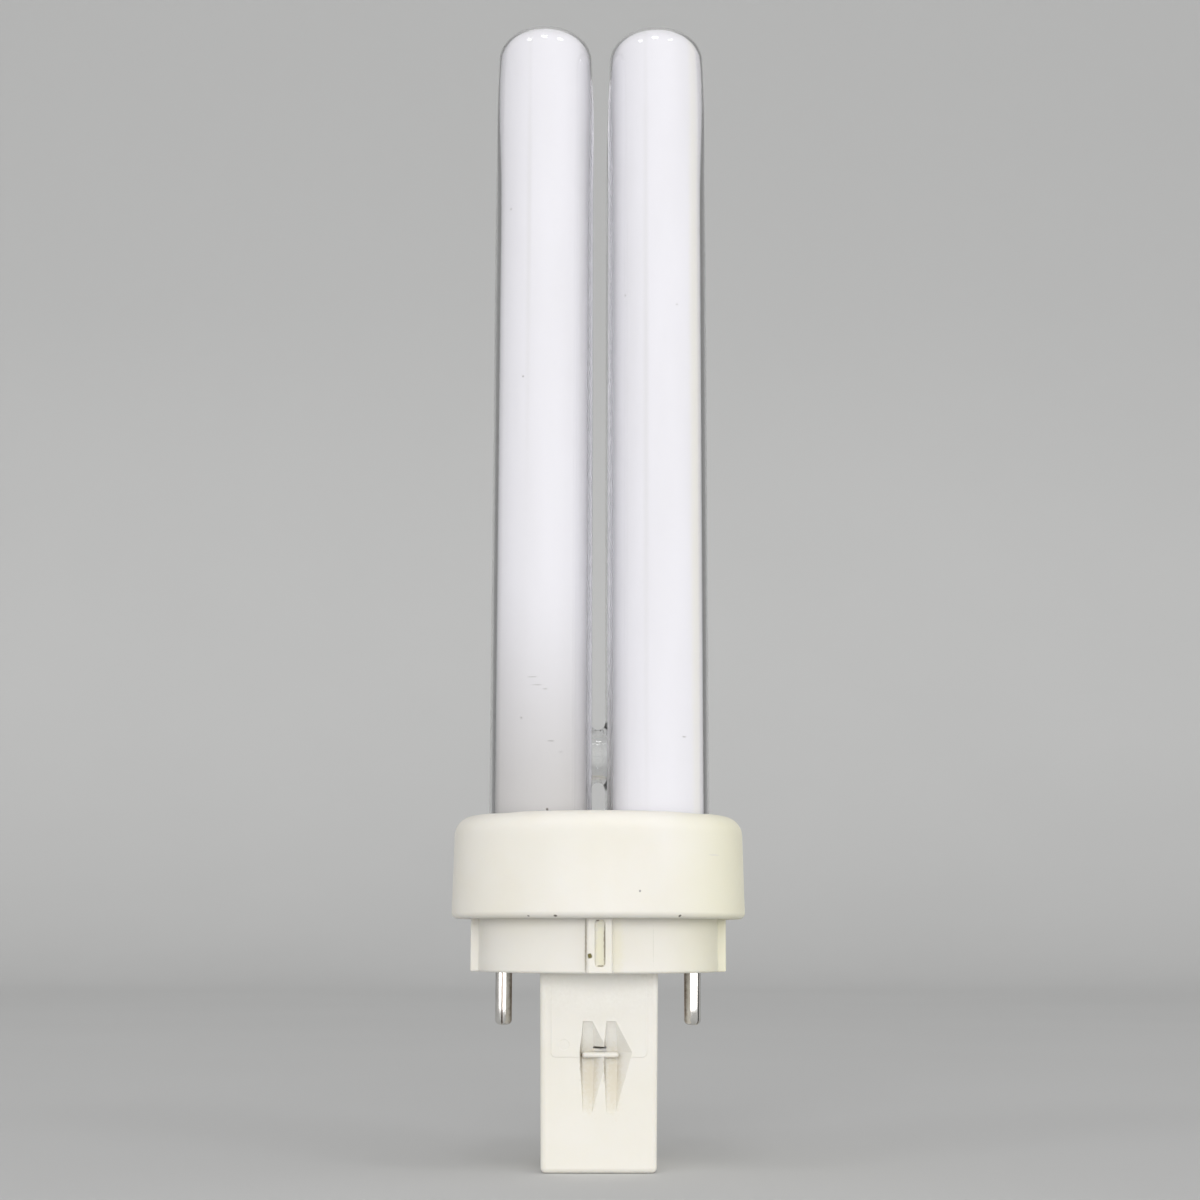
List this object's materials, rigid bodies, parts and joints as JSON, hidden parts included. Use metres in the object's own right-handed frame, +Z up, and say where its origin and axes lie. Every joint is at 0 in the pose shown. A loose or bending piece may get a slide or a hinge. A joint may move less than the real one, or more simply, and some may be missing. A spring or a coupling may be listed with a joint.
{
  "type": "plug-in compact fluorescent lamp",
  "caption": "Plug-in fluorescent lamp: white-coated glass legs joined into U tubes, on a round collar with a keyed post and contact pins.",
  "frame": {"origin": "on the lamp's axis at the seat, the flat lower face of the drum where the pins come out", "axes": "+Z up the glass legs, -Y the front with the latch notches in view, X along the line of the two pins"},
  "size_m": [0.035, 0.035, 0.1376],
  "materials": {
    "coated_glass": "clear glass over a matt white powder coat",
    "collar_plastic": "cream white moulded plastic, slightly satin",
    "base_plastic": "cream white moulded plastic, slightly satin",
    "pin_nickel": "bright nickel plate on rolled brass",
    "starter_glass": "clear glass",
    "capacitor_coat": "dipped resin",
    "lead_wire": "dull wire"
  },
  "bodies": {
    "root": {"discharge_tube": "coated_glass", "base_collar": "collar_plastic", "base_shell": "base_plastic", "contact_pin_left": "pin_nickel", "contact_pin_right": "pin_nickel", "starter_bottle": "starter_glass", "starter_capacitor": "capacitor_coat", "pin_lead_left": "lead_wire", "pin_lead_right": "lead_wire", "starter_lead_left": "lead_wire", "starter_lead_right": "lead_wire"}
  },
  "joints": []
}
